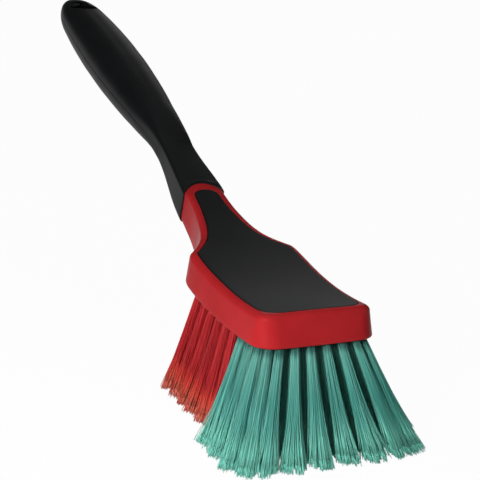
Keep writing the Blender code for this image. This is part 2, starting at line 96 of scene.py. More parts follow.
def evenShares(steps):    # from 0 to just short of 1
    return [i / steps for i in range(steps)]


def quarterTurn(steps):    # angles from 0 to a right angle
    return [pi / 2 * i / steps for i in range(steps + 1)]


# Camera, floor and light

cameraView = {
    "place": (-369.3, -758.75, 325.1),    # already from the middle of the frame
    "azimuth": -28.59, "elevation": 17.31, "roll": 5.13,    # degrees
    "lens": 105.97, "sensor": 36.0,
    "clip": (0.01, 50.0),    # metres
}


def makeCamera():
    azimuth, elevation, roll = (radians(cameraView[name]) for name in ("azimuth", "elevation", "roll"))
    back = Vector((sin(azimuth) * cos(elevation), -cos(azimuth) * cos(elevation), sin(elevation)))
    level = Vector((cos(azimuth), sin(azimuth), 0.0))
    upright = back.cross(level)
    right = level * cos(roll) + upright * sin(roll)
    up = upright * cos(roll) - level * sin(roll)
    turned = Matrix((right, up, back)).transposed().to_4x4()
    place = Vector(cameraView["place"]) * metresPerMillimetre
    data = bpy.data.cameras.new("camera")
    data.lens, data.sensor_width = cameraView["lens"], cameraView["sensor"]
    data.clip_start, data.clip_end = cameraView["clip"]
    camera = bpy.data.objects.new("camera", data)
    bpy.context.scene.collection.objects.link(camera)
    camera.matrix_world = Matrix.Translation(place) @ turned
    bpy.context.scene.camera = camera


makeCamera()
print("camera placed")


# Materials

def hexColour(code):    # sRGB hex to linear
    parts = [int(code[i:i + 2], 16) / 255 for i in (1, 3, 5)]
    return tuple(c / 12.92 if c <= 0.04045 else ((c + 0.055) / 1.055) ** 2.4 for c in parts) + (1.0,)


def addNode(tree, kind, settings=None, links=None, stops=None):
    node = tree.nodes.new(kind)
    for name, value in (settings or {}).items():
        if isinstance(name, int) or name in node.inputs:
            node.inputs[name].default_value = value
        else:
            setattr(node, name, value)
    for name, source in (links or {}).items():
        tree.links.new(source, node.inputs[name])
    if stops:    # places and colours of a colour ramp
        elements = node.color_ramp.elements
        while len(elements) < len(stops):
            elements.new(1.0)
        for element, (place, code) in zip(elements, stops):
            element.position, element.color = place, hexColour(code)
    return node


def perMetre(millimetres):
    return 1 / (millimetres * metresPerMillimetre)


def startMaterial(look, settings):
    made = bpy.data.materials.new(look["name"])
    made.use_nodes = True
    made.diffuse_color = hexColour(look["view"])
    shader = made.node_tree.nodes["Principled BSDF"]
    for socket, value in settings.items():
        shader.inputs[socket].default_value = value
    return made, made.node_tree, shader


redPlasticLook = {
    # Polypropylene, injection moulded in a polished mould: satin to gloss, soft waxy highlights
    "name": "polypropylene moulded red", "view": "#af262a",    # view: its colour in the viewport
    "shader": {"IOR": 1.49, "Specular IOR Level": 0.035, "Subsurface Weight": 0.04,
               "Subsurface Scale": 0.002, "Subsurface Radius": (1.0, 0.25, 0.2)},
    # size, detail and roughness of each noise
    "cloud": (38.0, 3.0, 0.5),    # faint clouding of the melt
    "gloss": (0.9, 4.0, 0.6),     # fine scuffs
    "relief": (2.4, 1.0, 0.5),    # orange peel of the polished mould, drawn a little coarse so that it shows
    "colours": [(0.35, "#ad2327"), (0.65, "#b9292d")],
    "roughness": (0.2, 0.3),
    "reliefDepth": 0.03, "reliefStrength": 0.35,
}

blackSoftLook = {
    # Thermoplastic elastomer moulded in a fine matt mould: dull, with a grey sheen where it is seen aslant
    "name": "elastomer moulded black", "view": "#17181a",
    "shader": {"IOR": 1.5, "Specular IOR Level": 0.11},
    "cloud": (26.0, 3.0, 0.5),
    # spark-eroded mould texture, really near 0.15 mm, drawn coarser so that it shows
    "gloss": (0.55, 3.0, 0.6), "relief": (0.55, 3.0, 0.6),
    "colours": [(0.3, "#121314"), (0.7, "#17181a")],
    "roughness": (0.42, 0.52),
    "reliefDepth": 0.035, "reliefStrength": 0.3,
}


def mouldedMaterial(look):
    made, tree, shader = startMaterial(look, look["shader"])
    place = addNode(tree, "ShaderNodeTexCoord").outputs["Object"]
    noise = {}
    for use in ("cloud", "gloss", "relief"):
        size, detail, roughness = look[use]
        node = addNode(tree, "ShaderNodeTexNoise", {
            "Scale": perMetre(size), "Detail": detail, "Roughness": roughness}, {"Vector": place})
        noise[use] = node.outputs["Fac"]
    colour = addNode(tree, "ShaderNodeValToRGB", None, {"Fac": noise["cloud"]}, look["colours"])
    polish = addNode(tree, "ShaderNodeMapRange", {
        "To Min": look["roughness"][0], "To Max": look["roughness"][1]}, {"Value": noise["gloss"]})
    bump = addNode(tree, "ShaderNodeBump", {
        "Strength": look["reliefStrength"], "Distance": look["reliefDepth"] * metresPerMillimetre},
        {"Height": noise["relief"]})
    tree.links.new(colour.outputs["Color"], shader.inputs["Base Color"])
    tree.links.new(polish.outputs["Result"], shader.inputs["Roughness"])
    tree.links.new(bump.outputs["Normal"], shader.inputs["Normal"])
    return made


filamentLooks = {
    # stops run from root to tip, and tones are those that single filaments have
    "teal": {"name": "polyester filament teal", "view": "#4f9a8f",
             # painted shade: the teal's first two stops are near black. They darken each filament up to about
             # 0.12 of its length and fade to full colour by 0.165, standing in for the shadow that the
             # block's skirt casts on the roots.
             "stops": [(0.0, "#0a1c19"), (0.115, "#0c2520"), (0.165, "#6fb9ac"), (0.5, "#4aa396"),
                       # the pale stops from 0.68 to the tip are partly the split ends' own paler look and
                       # partly painted light, brightened to stand in for light scattered through the split
                       # tips
                       (0.68, "#66bfb1"), (0.86, "#a2ffea")],
             "tones": [(0.0, "#35998b"), (0.5, "#4fa396"), (1.0, "#86d8c9")]},
    "red": {"name": "polyester filament red", "view": "#ae262c",
            # the pale orange stops from 0.8 to the tip are partly the split ends' own colour and partly
            # painted light, brightened to stand in for light scattered through the split tips
            "stops": [(0.0, "#b81d24"), (0.3, "#bd2027"), (0.68, "#c2232a"), (0.8, "#ff5a42"),
                      (1.0, "#ffa487")],
            "tones": [(0.0, "#b01b22"), (0.5, "#bf2128"), (1.0, "#d8393b")]},
}

filamentGloss = {
    "shader": {"IOR": 1.57, "Specular IOR Level": 0.3},
    "roughness": (0.36, 0.6),
    "toneShare": 0.45,
    "tipShift": 0.16,    # the pale tips start higher on some filaments than on others
}
mixSockets = {"first": 6, "second": 7, "result": 2}    # a Mix node's sockets for colours


def filamentMaterial(look):
    # Extruded polyester bristle: each filament its own tone, glossy along the shank, split and dull at the
    # tip. The UV map holds each one's own random number across and its length, root to tip, upwards.
    made, tree, shader = startMaterial(look, filamentGloss["shader"])
    place = addNode(tree, "ShaderNodeUVMap", {"uv_map": "filament"}).outputs["UV"]
    apart = addNode(tree, "ShaderNodeSeparateXYZ", None, {"Vector": place})
    number, length = apart.outputs["X"], apart.outputs["Y"]
    shift = filamentGloss["tipShift"]
    offset = addNode(tree, "ShaderNodeMath", {"operation": "MULTIPLY_ADD", 1: shift, 2: -shift / 2},
                     {0: number})
    reached = addNode(tree, "ShaderNodeMath", {"operation": "MULTIPLY_ADD"},
                      {0: length, 1: offset.outputs["Value"], 2: length})
    # this ramp along the length paints shade on the teal roots and, in part, paints light on the pale tips of
    # both kinds
    along = addNode(tree, "ShaderNodeValToRGB", None, {"Fac": reached.outputs["Value"]}, look["stops"])
    own = addNode(tree, "ShaderNodeValToRGB", None, {"Fac": number}, look["tones"])
    blend = addNode(tree, "ShaderNodeMix", {"data_type": "RGBA", "Factor": filamentGloss["toneShare"]},
                    {mixSockets["first"]: along.outputs["Color"], mixSockets["second"]: own.outputs["Color"]})
    rough = addNode(tree, "ShaderNodeMapRange", {
        "To Min": filamentGloss["roughness"][0], "To Max": filamentGloss["roughness"][1]}, {"Value": length})
    tree.links.new(blend.outputs[mixSockets["result"]], shader.inputs["Base Color"])
    tree.links.new(rough.outputs["Result"], shader.inputs["Roughness"])
    return made


redPlasticMade = mouldedMaterial(redPlasticLook)
blackSoftMade = mouldedMaterial(blackSoftLook)
filamentMade = {kind: filamentMaterial(look) for kind, look in filamentLooks.items()}
print("materials made")


# Stage

stageLook = {
    "floorSize": 6.0, "floorColour": "#f7f7f6", "floorRoughness": 0.9,
    "cameraWhite": 0.97,            # how much of the floor, seen directly, is plain white
    "skyLevels": (0.06, 0.1),       # a soft room light, low down and high up
    "skyFades": (0.1, 0.6),         # height over the horizon, as its sine, where one turns to the other
    "backdropTop": (0.0, 0.08),     # the white backdrop that reflections show ends between these heights
}
pureWhite = (1.0, 1.0, 1.0, 1.0)


def whiteShare(tree, ray, mirrored):    # 1 for rays that meet the stage as plain white
    direct = addNode(tree, "ShaderNodeMath", {"operation": "MAXIMUM"},
                     {0: ray.outputs["Is Camera Ray"], 1: mirrored})
    shown = addNode(tree, "ShaderNodeMath", {"operation": "MAXIMUM"},
                    {0: direct.outputs["Value"], 1: ray.outputs["Is Transmission Ray"]})
    return shown.outputs["Value"]


def makeFloor():
    selectOnly()
    bpy.ops.mesh.primitive_plane_add(size=stageLook["floorSize"], location=(0.0, 0.0, 0.0))
    floor = bpy.context.object
    floor.name = "studio_floor"
    made = bpy.data.materials.new("studio floor pale")
    made.use_nodes = True
    tree = made.node_tree
    shader = tree.nodes["Principled BSDF"]
    shader.inputs["Base Color"].default_value = hexColour(stageLook["floorColour"])
    shader.inputs["Roughness"].default_value = stageLook["floorRoughness"]
    white = addNode(tree, "ShaderNodeEmission", {"Color": pureWhite, "Strength": 1.0})
    pale = addNode(tree, "ShaderNodeMixShader", {0: stageLook["cameraWhite"]},
                   {1: shader.outputs["BSDF"], 2: white.outputs["Emission"]})
    ray = addNode(tree, "ShaderNodeLightPath")
    seen = addNode(tree, "ShaderNodeMixShader", None, {
        0: whiteShare(tree, ray, ray.outputs["Is Glossy Ray"]),
        1: shader.outputs["BSDF"], 2: pale.outputs["Shader"]})
    tree.links.new(seen.outputs["Shader"], tree.nodes["Material Output"].inputs["Surface"])
    floor.data.materials.append(made)


def makeWorld():
    world = bpy.data.worlds.new("studio")
    bpy.context.scene.world = world
    world.use_nodes = True
    tree = world.node_tree
    tree.nodes.clear()
    heading = addNode(tree, "ShaderNodeTexCoord").outputs["Generated"]
    height = addNode(tree, "ShaderNodeSeparateXYZ", None, {"Vector": heading}).outputs["Z"]
    room, backdrop = (
        addNode(tree, "ShaderNodeMapRange", {
            "interpolation_type": "SMOOTHSTEP", "From Min": heights[0], "From Max": heights[1],
            "To Min": levels[0], "To Max": levels[1]}, {"Value": height}).outputs["Result"]
        for heights, levels in ((stageLook["skyFades"], stageLook["skyLevels"]),
                                (stageLook["backdropTop"], (1.0, 0.0))))
    soft = addNode(tree, "ShaderNodeBackground", {"Color": pureWhite}, {"Strength": room})
    white = addNode(tree, "ShaderNodeBackground", {"Color": pureWhite, "Strength": 1.0})
    ray = addNode(tree, "ShaderNodeLightPath")
    mirrored = addNode(tree, "ShaderNodeMath", {"operation": "MULTIPLY"},
                       {0: ray.outputs["Is Glossy Ray"], 1: backdrop})
    pick = addNode(tree, "ShaderNodeMixShader", None, {
        0: whiteShare(tree, ray, mirrored.outputs["Value"]),
        1: soft.outputs["Background"], 2: white.outputs["Background"]})
    out = addNode(tree, "ShaderNodeOutputWorld")
    tree.links.new(pick.outputs["Shader"], out.inputs["Surface"])


softboxes = {
    # name: place, what it faces, width and height, power in watts
    "left_softbox": ((-1.2, -0.55, 0.3), (0.0, -0.1, 0.06), (0.5, 0.5), 1.7),
    "close_card": ((-0.34, -0.395, 0.24), (0.0, -0.15, 0.05), (0.09, 0.12), 1.55),
    "top_softbox": ((0.1, 0.0, 1.6), (0.0, 0.0, 0.06), (0.9, 0.9), 3.0),
    "rear_softbox": ((0.85, 1.18, 0.71), (0.0, 0.0, 0.08), (0.6, 0.6), 1.25),
}


def makeLights():
    for name, (place, target, size, power) in softboxes.items():
        data = bpy.data.lights.new(name, "AREA")
        data.shape, data.size, data.size_y, data.energy = "RECTANGLE", size[0], size[1], power
        lamp = bpy.data.objects.new(name, data)
        bpy.context.scene.collection.objects.link(lamp)
        lamp.visible_camera = False
        lamp.location = place
        lamp.rotation_euler = (Vector(target) - Vector(place)).to_track_quat("-Z", "Y").to_euler()


makeFloor()
makeWorld()
makeLights()
bpy.context.scene.view_settings.view_transform = "Standard"
print("stage and lights made")


# Skins: a flat grid is added, its points are laid along half sections and their mirror images, and its
# seams and poles are merged

mergeDistance = 0.000002


def smoothPiece(piece, degrees):
    selectOnly(piece)
    bpy.ops.object.shade_smooth_by_angle(angle=radians(degrees))


def wrapSkin(name, halfRings, material=None):
    rings = [list(half) + [(-x, y, z) for x, y, z in reversed(half[1:-1])] + [half[0]]
             for half in halfRings]
    columns, rows = len(rings[0]), len(rings)
    selectOnly()
    bpy.ops.mesh.primitive_grid_add(x_subdivisions=columns - 1, y_subdivisions=rows - 1, size=1.0)
    made = bpy.context.object
    made.name = made.data.name = name
    places = toFrame([p for ring in rings for p in ring])
    made.data.vertices.foreach_set("co", places.astype(np.float32).ravel())
    made.data.update()
    bpy.ops.object.mode_set(mode="EDIT")
    bpy.ops.mesh.select_all(action="SELECT")
    bpy.ops.mesh.remove_doubles(threshold=mergeDistance)
    bpy.ops.mesh.dissolve_degenerate(threshold=mergeDistance)
    bpy.ops.mesh.select_all(action="SELECT")
    bpy.ops.mesh.normals_make_consistent(inside=False)
    bpy.ops.object.mode_set(mode="OBJECT")
    if made.data.uv_layers:
        made.data.uv_layers.remove(made.data.uv_layers[0])
    if material:
        made.data.materials.append(material)
    return made


def cutAway(piece, cutter):
    selectOnly(piece)
    modifier = piece.modifiers.new("cut", "BOOLEAN")
    modifier.operation, modifier.solver, modifier.object = "DIFFERENCE", "EXACT", cutter
    bpy.ops.object.modifier_apply(modifier=modifier.name)
    bpy.data.objects.remove(cutter, do_unlink=True)


def finishPiece(piece, node):
    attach(piece, "root")
    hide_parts(node)
    print(f"{piece.name}: {len(piece.data.polygons)} faces")


# Block, neck and tang

block = {
    "width": 72.6, "shoulderAt": 84.0, "cornerRadius": 12.8, "frontRadius": 460.0,
    "skirtHeight": 56.8, "thickness": 16.8, "rockerAt": 35.0, "rockerRadius": 310.0,
    "topLowAt": 37.0, "topFrontRadius": 240.0, "topRise": 26.7, "topRisePower": 1.84, "crown": 0.6,
    "edgeWidth": 5.4, "edgeDrop": 4.0, "frontDraft": 5.0, "sideDraft": 2.0, "skirtRadius": 1.2,
    "skirtWall": 2.4, "undersideEnd": 100.0,
    "shoulderShares": ((0.0, 0.985), (0.1, 0.97), (0.18, 0.92), (0.24, 0.76), (0.3, 0.585), (0.38, 0.4),
                       (0.49, 0.25), (0.63, 0.14), (0.79, 0.055), (1.0, 0.0)),
    "draftShares": ((0.0, 1.0), (0.26, 1.0), (0.4, 0.9), (0.56, 0.6), (0.64, 0.6), (0.8, 0.6), (1.0, 0.5)),
    "frontSteps": 14, "cornerSteps": 24, "sideSteps": 30, "shoulderSteps": 54, "neckSteps": 26,
    "flareEnd": 0.49, "lastShare": 0.93,    # shares of the way to the grip between which the neck's steps lie
    "bulgePower": 4, "chordReach": 4.5, "fanAt": 26.0, "smoothAngle": 30,
}

handle = {
    "ringAt": 151.0, "ringArch": 6.5, "ringTilt": 1.9, "ringWidth": 27.2, "ringDepth": 20.2, "proud": 0.8,
    "edgeRadius": 1.8, "baseRadius": 3.5,
    "neckSlope": radians(27.5), "gripSlope": radians(16.5), "neckRun": 52.0, "bendRadius": 150.0,
    "gripRun": 170.0, "squareRun": 14.0, "waistAt": 48.0, "waistWidth": 21.2, "waistDepth": 14.3,
    "palmWidth": 36.8, "palmDepth": 30.0, "capLength": 34.0, "skin": 2.4,
    "swellShares": ((0.19, 0.0), (0.262, 0.18), (0.345, 0.5), (0.425, 0.75), (0.504, 0.905), (0.583, 1.0),
                    (0.663, 1.0), (0.742, 0.93), (0.817, 0.8), (0.873, 0.66), (1.0, 0.5)),
    "undersideShares": ((0.19, 0.0), (0.225, 0.02), (0.262, 0.22), (0.3, 0.5), (0.345, 0.72), (0.425, 0.87),
                        (0.504, 0.95), (0.583, 1.0), (0.663, 1.0), (0.742, 0.93), (0.817, 0.8),
                        (0.873, 0.66), (1.0, 0.5)),
    "palmRoundness": 0.86, "palmSteepness": 0.92, "neckSquareness": 2.0, "palmSquareness": 2.05,
    "leastRadius": 0.3, "partingDepth": 0.2,
    # where along the handle the neck's crisp edges start to turn soft, and over what length
    "crispUntil": 40.0, "softensOver": 52.0,
    "solidEnd": 40.0,    # the tang stops this far short of the grip's end
    "tangGap": 0.3, "ringGap": 0.05, "lipRadius": 0.5,
    "bodySteps": 90, "capSteps": 22, "lipSteps": 6, "smoothAngle": 32,
    "capClosed": 0.9999,    # share of the cap's length past which its sections are points
}

sectionSteps = {"across": 10, "arc": 11, "wall": 6}


def topLine(y):
    lowest = block["skirtHeight"] + block["thickness"]
    if y <= block["topLowAt"]:
        return lowest + arcRise(block["topFrontRadius"], block["topLowAt"] - y)
    share = (y - block["topLowAt"]) / (handle["ringAt"] - block["topLowAt"])
    return lowest + block["topRise"] * share ** block["topRisePower"]


def ringCentreHeight():
    return topLine(handle["ringAt"]) + handle["proud"] - handle["ringDepth"] / 2 / cos(handle["neckSlope"])


def bottomLine(y):
    end = block["undersideEnd"]
    if y <= end:
        return block["skirtHeight"] + arcRise(block["rockerRadius"], y - block["rockerAt"])
    run = end - block["rockerAt"]
    start = block["skirtHeight"] + arcRise(block["rockerRadius"], run)
    startSlope = run / sqrt(block["rockerRadius"] ** 2 - run ** 2)
    last = ringCentreHeight() - handle["ringDepth"] / 2 / cos(handle["neckSlope"]) + handle["proud"]
    length = handle["ringAt"] - end
    return hermite(start, last, startSlope * length, tan(handle["neckSlope"]) * length, (y - end) / length)


def sideHalfWidth(y):
    neck = handle["ringWidth"] / 2 - handle["proud"]
    widest, corner, shoulder = block["width"] / 2, block["cornerRadius"], block["shoulderAt"]
    if y <= corner:
        return widest
    if y <= shoulder:
        nearness = ((y - corner) / (shoulder - corner)) ** block["bulgePower"]
        share = 1 - (1 - block["shoulderShares"][0][1]) * nearness
    else:
        share = smoothTable(block["shoulderShares"], (y - shoulder) / (handle["ringAt"] - shoulder))
    return neck + (widest - neck) * share


def outlinePoints():    # right half of the plan, from the middle of the front to just before the grip
    radius = block["cornerRadius"]
    cornerX = block["width"] / 2 - radius
    tilt = cornerX / block["frontRadius"]
    points = []
    for i in range(block["frontSteps"]):
        x = (cornerX + radius * tilt) * i / block["frontSteps"]
        points.append((x, arcRise(block["frontRadius"], x)))
    bow = arcRise(block["frontRadius"], cornerX)
    for i in range(block["cornerSteps"]):
        angle = mix(tilt, pi / 2, i / block["cornerSteps"])
        points.append((cornerX + radius * sin(angle), bow + radius * (1 - cos(angle))))
    shoulder, ringAt = block["shoulderAt"], handle["ringAt"]
    flareEnd, last = (mix(shoulder, ringAt, block[name]) for name in ("flareEnd", "lastShare"))
    places = [mix(radius + bow, shoulder, share) for share in evenShares(block["sideSteps"])]
    places += [mix(shoulder, flareEnd, share) for share in evenShares(block["shoulderSteps"])]
    places += [mix(flareEnd, last, share) for share in evenShares(block["neckSteps"]) + [1.0]]
    return [Vector(p) for p in points + [(sideHalfWidth(y), y) for y in places]]


def alongPath(points):    # how far along the path each point lies, and its two coordinates
    lengths = np.cumsum([0.0] + [(b - a).length for a, b in zip(points, points[1:])])
    return lengths, np.array([p.x for p in points]), np.array([p.y for p in points])


def inwardNormals(points, reach, endsInMiddle=False):
    # square to a chord that reaches this far both ways, so that an inset path doesn't fold at tight turns;
    # over the middle line the path goes on as its own mirror image
    lengths, xs, ys = alongPath(points)
    end = lengths[-1]

    def placeAt(at, side=1.0):
        return Vector((side * np.interp(at, lengths, xs), np.interp(at, lengths, ys)))

    normals = []
    for at in lengths:
        before = placeAt(at - reach) if at >= reach else placeAt(reach - at, -1.0)
        mirrored = endsInMiddle and at > end - reach
        after = placeAt(2 * end - at - reach, -1.0) if mirrored else placeAt(min(at + reach, end))
        along = (after - before).normalized()
        normals.append(Vector((-along.y, along.x)))
    normals[0] = Vector((0.0, 1.0))
    if endsInMiddle:
        normals[-1] = Vector((0.0, -1.0))
    return normals


def crownedTop(x, y):
    reach = sideHalfWidth(max(y, block["cornerRadius"]))
    return topLine(y) + block["crown"] * (1 - min(abs(x) / reach, 1.0) ** 2)


def spinePlace(y):    # the front's points all reach for one place on the middle line
    return max(y, block["fanAt"])


def wallDraft(point, normal):
    side = block["sideDraft"] * smoothTable(block["draftShares"], point[1] / handle["ringAt"])
    return mix(side, block["frontDraft"], max(normal.y, 0.0) ** 2)


def blockHalfRing(at, normal):
    share = ease((at.y - block["shoulderAt"]) / (handle["ringAt"] - block["shoulderAt"]))
    width = mix(block["edgeWidth"], handle["edgeRadius"], share)
    drop = mix(block["edgeDrop"], handle["edgeRadius"], share)
    base = mix(block["skirtRadius"], handle["baseRadius"], share)
    draft = wallDraft(at, normal)
    topIn, baseIn = at + normal * (draft + width), at + normal * base
    spineTop, spineBase = Vector((0.0, spinePlace(topIn.y))), Vector((0.0, spinePlace(baseIn.y)))
    shares, angles = evenShares(sectionSteps["across"]), quarterTurn(sectionSteps["arc"])
    plan = [spineTop.lerp(topIn, share) for share in shares]
    ring = [(p.x, p.y, crownedTop(p.x, p.y)) for p in plan]
    for angle in angles:
        p = at + normal * (draft + width * (1 - sin(angle)))
        ring.append((p.x, p.y, crownedTop(topIn.x, p.y) - drop * (1 - cos(angle))))
    wallTop, wallBase = Vector(ring[-1]), Vector((at.x, at.y, bottomLine(at.y) + base))
    ring += [tuple(wallTop.lerp(wallBase, share)) for share in evenShares(sectionSteps["wall"])[1:]]
    for angle in angles:
        p = at + normal * base * (1 - cos(angle))
        ring.append((p.x, p.y, bottomLine(p.y) + base * (1 - sin(angle))))
    for share in reversed(shares):
        p = spineBase.lerp(baseIn, share)
        ring.append((p.x, p.y, bottomLine(p.y)))
    return ring


# Sections of the handle, shared by the tang and the grip

def handleLength():
    bend = handle["bendRadius"] * (handle["neckSlope"] - handle["gripSlope"])
    return handle["neckRun"] + bend + handle["gripRun"]


def insideEnd(inset):    # end of the outer skin, or of the tang and the room for it, which are inset further
    return handleLength() - (handle["solidEnd"] if inset > handle["proud"] else 0.0)


def centreline(along):
    neckSlope, radius = handle["neckSlope"], handle["bendRadius"]
    run = min(along, handle["neckRun"])
    y, z = handle["ringAt"] + run * cos(neckSlope), ringCentreHeight() + run * sin(neckSlope)
    if along <= handle["neckRun"]:
        return y, z, neckSlope
    turned = min((along - handle["neckRun"]) / radius, neckSlope - handle["gripSlope"])
    slope = neckSlope - turned
    y += radius * (sin(neckSlope) - sin(slope))
    z += radius * (cos(slope) - cos(neckSlope))
    run = max(0.0, along - handle["neckRun"] - radius * (neckSlope - handle["gripSlope"]))
    return y + run * cos(slope), z + run * sin(slope), slope


def sectionPoints(width, top, base, crown, edge, foot, power=2.0, groove=0.0):
    # power 2 gives round corners, and more gives squarer ones; groove is the depth of the parting line,
    # which runs at half the wall's height
    shares, walls = evenShares(sectionSteps["across"]), evenShares(sectionSteps["wall"])[1:]
    arc = [(max(sin(a), 0.0) ** (2 / power), max(cos(a), 0.0) ** (2 / power))
           for a in quarterTurn(sectionSteps["arc"])]
    sideTop, sideBase = top - crown - edge[1], foot[1] - base
    half = [((width - edge[0]) * share, top - crown * share ** 2) for share in shares]
    half += [(width - edge[0] * (1 - s), sideTop + edge[1] * c) for s, c in arc]
    half += [(width - (groove if share == 0.5 else 0.0), mix(sideTop, sideBase, share)) for share in walls]
    half += [(width - foot[0] * (1 - c), sideBase - foot[1] * s) for s, c in arc]
    half += [((width - foot[0]) * share, -base) for share in reversed(shares)]
    return half


def handleHalfRing(along, inset, back=0.0):
    y, z, slope = centreline(along)
    length, waistAt = handleLength(), handle["waistAt"]
    if along <= waistAt:
        narrowing = ease(along / waistAt)
        width = mix(handle["ringWidth"], handle["waistWidth"], narrowing) / 2
        top = base = mix(handle["ringDepth"], handle["waistDepth"], narrowing) / 2
    else:
        place = mix(handle["swellShares"][0][0], 1.0, (along - waistAt) / (length - waistAt))
        swell, belly = (smoothTable(handle[name], place) for name in ("swellShares", "undersideShares"))
        width = mix(handle["waistWidth"], handle["palmWidth"], swell) / 2
        top, base = (mix(handle["waistDepth"], handle["palmDepth"], share) / 2 for share in (swell, belly))
    closing = max(0.0, along - insideEnd(inset) + handle["capLength"]) / (handle["capLength"] - inset)
    scale = sqrt(1 - closing ** 2) if closing < handle["capClosed"] else 0.0
    rounding = ease((along - handle["crispUntil"]) / handle["softensOver"])
    edge, foot = ((mix(handle[name], width * handle["palmRoundness"], rounding),
                   mix(handle[name], depth * handle["palmSteepness"], rounding))
                  for name, depth in (("edgeRadius", top), ("baseRadius", base)))
    crown = min(block["crown"], top - edge[1]) * (1 - rounding)
    outer = sectionPoints(width, top, base, crown, edge, foot)
    least = handle["leastRadius"]
    half = sectionPoints(width - inset, top - inset, base - inset, crown,
                         [max(r - inset, least) for r in edge], [max(r - inset, least) for r in foot],
                         mix(handle["neckSquareness"], handle["palmSquareness"], rounding),
                         handle["partingDepth"] * rounding if inset == 0 else 0.0)
    lean = slope * ease(along / handle["squareRun"])
    stretch = 1 / cos(slope - lean)
    fading = 1 - ease(along / handle["squareRun"])
    ring = []
    for (x, up), (outerX, outerUp) in zip(half, outer):
        height = outerUp / top
        arch = handle["ringArch"] * (1 - (outerX / width) ** 2) * (1 + height) / 2
        x, up = x * scale, up * scale * stretch
        bowed = (arch - handle["ringTilt"] * height) * fading - back
        ring.append((x, y - up * sin(lean) + bowed, z + up * cos(lean) + bowed * tan(slope)))
    return ring


def handlePlaces(inset):
    capAt = insideEnd(inset) - handle["capLength"]
    body = handle["bodySteps"]
    return ([capAt * i / body for i in range(body + 1)]
            + [capAt + (handle["capLength"] - inset) * sin(a) for a in quarterTurn(handle["capSteps"])[1:]])


# Top pad and its pocket

pad = {
    "rim": 4.3, "thickness": 2.2, "end": 150.2, "tipLength": 7.2, "tipPower": 2.4, "tipSteps": 26,
    "gap": 0.18, "edgeRadius": 0.45, "pocketChamfer": 0.3, "pocketOver": 0.6,
    "across": 12, "arcSteps": 5, "chordReach": 1.2, "smoothAngle": 32,
    # the rounding of the front corners: its reach both ways, where it ends, and how long it takes to fade
    "cornerWindow": 9.0, "cornerUntil": 40.0, "cornerFade": 14.0, "cornerSamples": 13,
    "nudge": 1e-9,    # gives a sample on the middle line its side
}


def softenedFront(points):    # averages along the path, which rounds the pad's front corners
    lengths, xs, ys = alongPath(points)
    softened = []
    for p, at in zip(points, lengths):
        window = pad["cornerWindow"] * ease((pad["cornerUntil"] - p.y) / pad["cornerFade"])
        around = at + np.linspace(-window, window, pad["cornerSamples"])
        x = np.interp(np.abs(around), lengths, xs) * np.sign(around + pad["nudge"])
        y = np.interp(np.abs(around), lengths, ys)
        softened.append(Vector((x.mean() if p.x > 0 else 0.0, y.mean())))
    return softened


def padOutline(border):
    points = outlinePoints()
    normals = inwardNormals(points, block["chordReach"])
    inner = softenedFront([p + n * (wallDraft(p, n) + border) for p, n in zip(points, normals)])
    tipLength = pad["tipLength"] + pad["rim"] - border
    tipAt = pad["end"] - pad["tipLength"]
    inner = [p for p in inner if p.y < tipAt]
    start = sideHalfWidth(tipAt) - wallDraft((0.0, tipAt), Vector((-1.0, 0.0))) - border
    power = 2 / pad["tipPower"]
    for angle in quarterTurn(pad["tipSteps"])[:-1]:
        inner.append(Vector((start * cos(angle) ** power, tipAt + tipLength * sin(angle) ** power)))
    return inner + [Vector((0.0, tipAt + tipLength))]


def padHalfRings(border, profile):
    # profile: pairs of (inward from the border, depth below the crowned top), from the middle outwards
    outline = padOutline(border)
    normals = inwardNormals(outline, pad["chordReach"], True)
    tipAt = pad["end"] - pad["tipLength"]
    shares = evenShares(pad["across"])
    rings = []
    for p, normal in zip(outline, normals):
        ends = [p + normal * profile[i][0] for i in (0, -1)]
        spines = [Vector((0.0, min(spinePlace(end.y), max(end.y, tipAt)))) for end in ends]
        ring = [(*spines[0].lerp(ends[0], share), profile[0][1]) for share in shares]
        ring += [(*(p + normal * inward), depth) for inward, depth in profile]
        ring += [(*spines[1].lerp(ends[1], share), profile[-1][1]) for share in reversed(shares)]
        rings.append([(max(x, 0.0), y, crownedTop(x, y) - depth) for x, y, depth in ring])
    return rings


def makePadPocket():
    chamfer, over, floor = pad["pocketChamfer"], pad["pocketOver"], pad["thickness"] + pad["gap"]
    profile = [(-chamfer - over, -over), (0.0, chamfer), (0.0, floor)]
    return wrapSkin("pad_pocket", padHalfRings(pad["rim"] - pad["gap"], profile))


def makeTopPad():
    radius = pad["edgeRadius"]
    profile = [(radius * (1 - sin(a)), radius * (1 - cos(a))) for a in quarterTurn(pad["arcSteps"])]
    profile.append((0.0, pad["thickness"]))
    topPad = wrapSkin("soft_top_pad", padHalfRings(pad["rim"], profile), blackSoftMade)
    smoothPiece(topPad, pad["smoothAngle"])
    return topPad


# Tuft field: a recess in the skirt with a drilled floor

tufts = {
    "firstRowAt": 5.6, "rowPitch": 8.7, "columnPitch": 9.3, "inset": 5.2,
    "across": (6, 8, 8, 8, 8, 8, 8, 8, 8, 8, 6), "tealRows": 4,
    "narrowing": {"teal": 0.93, "red": 0.965}, "cornerTuft": (26.6, 9.2), "frontSetBack": 1.2,
    "lip": 2.0, "rear": 100.0, "rearRadius": 10.0, "cornerSteps": 10,
    "holeRadius": 2.45, "holeDepth": 4.0, "holeSides": 20,
    # how far under the block the cut for the recess starts, and under the recess's floor each drill
    "cutBelow": 5.0, "drillBelow": 2.0,
}
rowCount = len(tufts["across"])


def tuftKind(row):
    return "teal" if row < tufts["tealRows"] else "red"


def rowPlace(row):
    return tufts["firstRowAt"] + tufts["rowPitch"] * row


